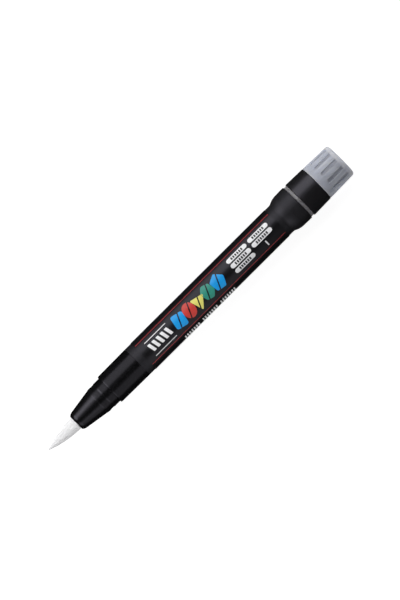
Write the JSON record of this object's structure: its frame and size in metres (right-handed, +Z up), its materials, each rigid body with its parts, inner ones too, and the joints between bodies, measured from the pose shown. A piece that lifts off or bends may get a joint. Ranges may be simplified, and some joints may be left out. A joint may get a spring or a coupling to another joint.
{
  "type": "brush pen",
  "caption": "Uncapped brush pen with a white bristle tip, a tapered nose, a slim round barrel and a fluted push knob at the tail.",
  "frame": {"origin": "bottom centre of the bounding box of the pen lying on its side", "axes": "+X along the pen towards the tip of the brush, +Z up, the printed side of the barrel faces +Z"},
  "size_m": [0.15, 0.0152, 0.0152],
  "materials": {
    "barrel": "fine satin black",
    "label_film": "printed black film",
    "nose_cone": "satin black",
    "brush_tuft": "white synthetic bristles",
    "tail_sleeve": "satin black",
    "tail_knob": "clouded translucent polypropylene",
    "brush_ferrule": "natural white moulding",
    "feed_core": "bonded fibre",
    "feed_buffer": "open sponge",
    "buffer_tube": "clear film tube",
    "feed_holder": "natural white moulding",
    "valve_needle": "acetal",
    "spring_washer": "stainless",
    "return_spring": "stainless wire",
    "nose_seal": "nitrile",
    "guide_ring": "acetal bearing ring",
    "ink_tank": "dark polypropylene",
    "valve_housing": "natural white moulding",
    "seat_gasket": "nitrile",
    "neck_seal": "nitrile",
    "stop_collar": "acetal snap ring",
    "tank_plug": "dark polypropylene",
    "plug_seal": "nitrile",
    "mixing_ball": "polished steel ball"
  },
  "bodies": {
    "body": {"barrel": "barrel", "label_film": "label_film", "nose_cone": "nose_cone", "brush_tuft": "brush_tuft", "brush_ferrule": "brush_ferrule", "feed_core": "feed_core", "feed_buffer": "feed_buffer", "buffer_tube": "buffer_tube", "feed_holder": "feed_holder", "valve_needle": "valve_needle", "spring_washer": "spring_washer", "return_spring": "return_spring", "nose_seal": "nose_seal", "guide_ring": "guide_ring"},
    "tail_unit": {"tail_knob": "tail_knob", "tail_sleeve": "tail_sleeve", "ink_tank": "ink_tank", "valve_housing": "valve_housing", "seat_gasket": "seat_gasket", "neck_seal": "neck_seal", "stop_collar": "stop_collar", "tank_plug": "tank_plug", "plug_seal": "plug_seal"},
    "ball": {"mixing_ball": "mixing_ball"}
  },
  "joints": [
    {"name": "tail_press", "type": "slide", "parent": "body", "child": "tail_unit", "axis": [1, 0, 0], "range_m": [0, 0.0011], "stiffness_N_per_m": 600, "springref_m": -0.005, "deforming": ["return_spring"]},
    {"name": "ball_run", "type": "slide", "parent": "tail_unit", "child": "ball", "axis": [1, 0, 0], "range_m": [0, 0.0685]}
  ]
}
